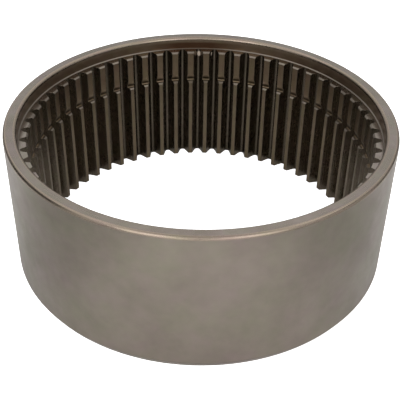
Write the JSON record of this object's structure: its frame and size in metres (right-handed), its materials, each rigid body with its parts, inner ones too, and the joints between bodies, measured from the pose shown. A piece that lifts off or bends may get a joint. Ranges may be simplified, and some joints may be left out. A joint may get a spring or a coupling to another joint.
{
  "type": "internal ring gear",
  "caption": "Steel ring with straight internal teeth, plain recess at one end, teeth bored shorter down to a shoulder, and a bevelled lead-in on the outside.",
  "frame": {"origin": "centre of the lower end face, on the axis of the ring", "axes": "+Z along the axis towards the end with the recess; +Y away from the viewer of the picture; +X through the middle of a tooth space"},
  "size_m": [0.33, 0.33, 0.13],
  "materials": {
    "gear_steel": "oiled, fine-turned outside, dark teeth"
  },
  "bodies": {
    "root": {"ring_gear": "gear_steel"}
  },
  "joints": []
}
